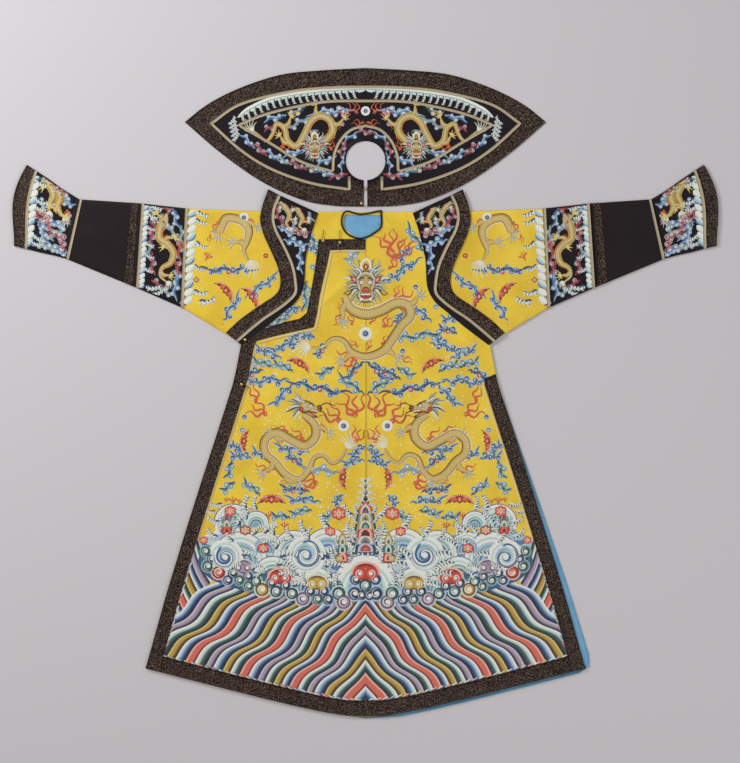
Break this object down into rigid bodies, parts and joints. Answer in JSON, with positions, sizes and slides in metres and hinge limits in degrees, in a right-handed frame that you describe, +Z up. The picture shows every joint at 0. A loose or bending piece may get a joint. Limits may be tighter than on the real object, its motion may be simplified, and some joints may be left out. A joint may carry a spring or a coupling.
{
  "type": "court robe with flared collar",
  "caption": "Court robe of lined silk with horse-hoof cuffs, shoulder wings and an overlapping front, laid flat below its flared collar",
  "frame": {"origin": "middle of the bounding box, on the surface that the robe lies on", "axes": "+Z up out of the cloth, +Y along the back from the hem towards the neck and the collar, +X to the right as seen from above, along the sleeves"},
  "size_m": [1.904, 1.755, 0.0188],
  "materials": {
    "yellow_silk": "bright yellow silk with a soft sheen, embroidered",
    "dark_satin": "blue-black silk satin, embroidered in colours and gold",
    "plain_sleeve_silk": "plain brown-black silk",
    "gold_brocade": "dark silk with a small woven gold scroll",
    "blue_lining": "thin sky blue silk lining",
    "gold_braid": "narrow woven braid of pale gold",
    "black_cord": "black silk cord",
    "gilt_brass": "small gilt ball buttons"
  },
  "bodies": {
    "root": {"back_body": "yellow_silk", "back_lining": "blue_lining", "braid_band_inner_left": "gold_braid", "braid_band_inner_right": "gold_braid", "braid_band_outer_left": "gold_braid", "braid_band_outer_right": "gold_braid", "braid_cuff_edge_left": "gold_braid", "braid_cuff_edge_right": "gold_braid", "braid_cuff_seam_left": "gold_braid", "braid_cuff_seam_right": "gold_braid", "button_collar": "gilt_brass", "button_collar_end": "gilt_brass", "button_lapel": "gilt_brass", "button_neck": "gilt_brass", "button_side": "gilt_brass", "button_underarm": "gilt_brass", "collar_base": "dark_satin", "collar_border": "gold_brocade", "collar_braid_inner": "gold_braid", "collar_braid_outer": "gold_braid", "collar_neck_binding": "dark_satin", "cuff_border_left": "gold_brocade", "cuff_border_right": "gold_brocade", "dragon_band_back_left": "dark_satin", "dragon_band_back_right": "dark_satin", "dragon_band_front_left": "dark_satin", "dragon_band_front_right": "dark_satin", "edge_band_hem": "gold_brocade", "edge_band_left": "gold_brocade", "edge_band_overlap": "gold_brocade", "edge_band_right": "gold_brocade", "front_overlap": "yellow_silk", "front_right": "yellow_silk", "hoof_cuff_back_left": "dark_satin", "hoof_cuff_back_right": "dark_satin", "hoof_cuff_front_left": "dark_satin", "hoof_cuff_front_right": "dark_satin", "inner_flap": "yellow_silk", "loop_collar": "black_cord", "loop_lapel": "black_cord", "loop_neck": "black_cord", "loop_side": "black_cord", "neck_binding": "dark_satin", "plain_sleeve_back_left": "plain_sleeve_silk", "plain_sleeve_back_right": "plain_sleeve_silk", "plain_sleeve_front_left": "plain_sleeve_silk", "plain_sleeve_front_right": "plain_sleeve_silk", "sleeve_brocade_left": "gold_brocade", "sleeve_brocade_right": "gold_brocade", "upper_sleeve_back_left": "yellow_silk", "upper_sleeve_back_right": "yellow_silk", "upper_sleeve_front_left": "yellow_silk", "upper_sleeve_front_right": "yellow_silk", "wing_border_left": "gold_brocade", "wing_border_right": "gold_brocade", "wing_braid_left": "gold_braid", "wing_braid_right": "gold_braid", "wing_left": "dark_satin", "wing_right": "dark_satin"}
  },
  "joints": []
}
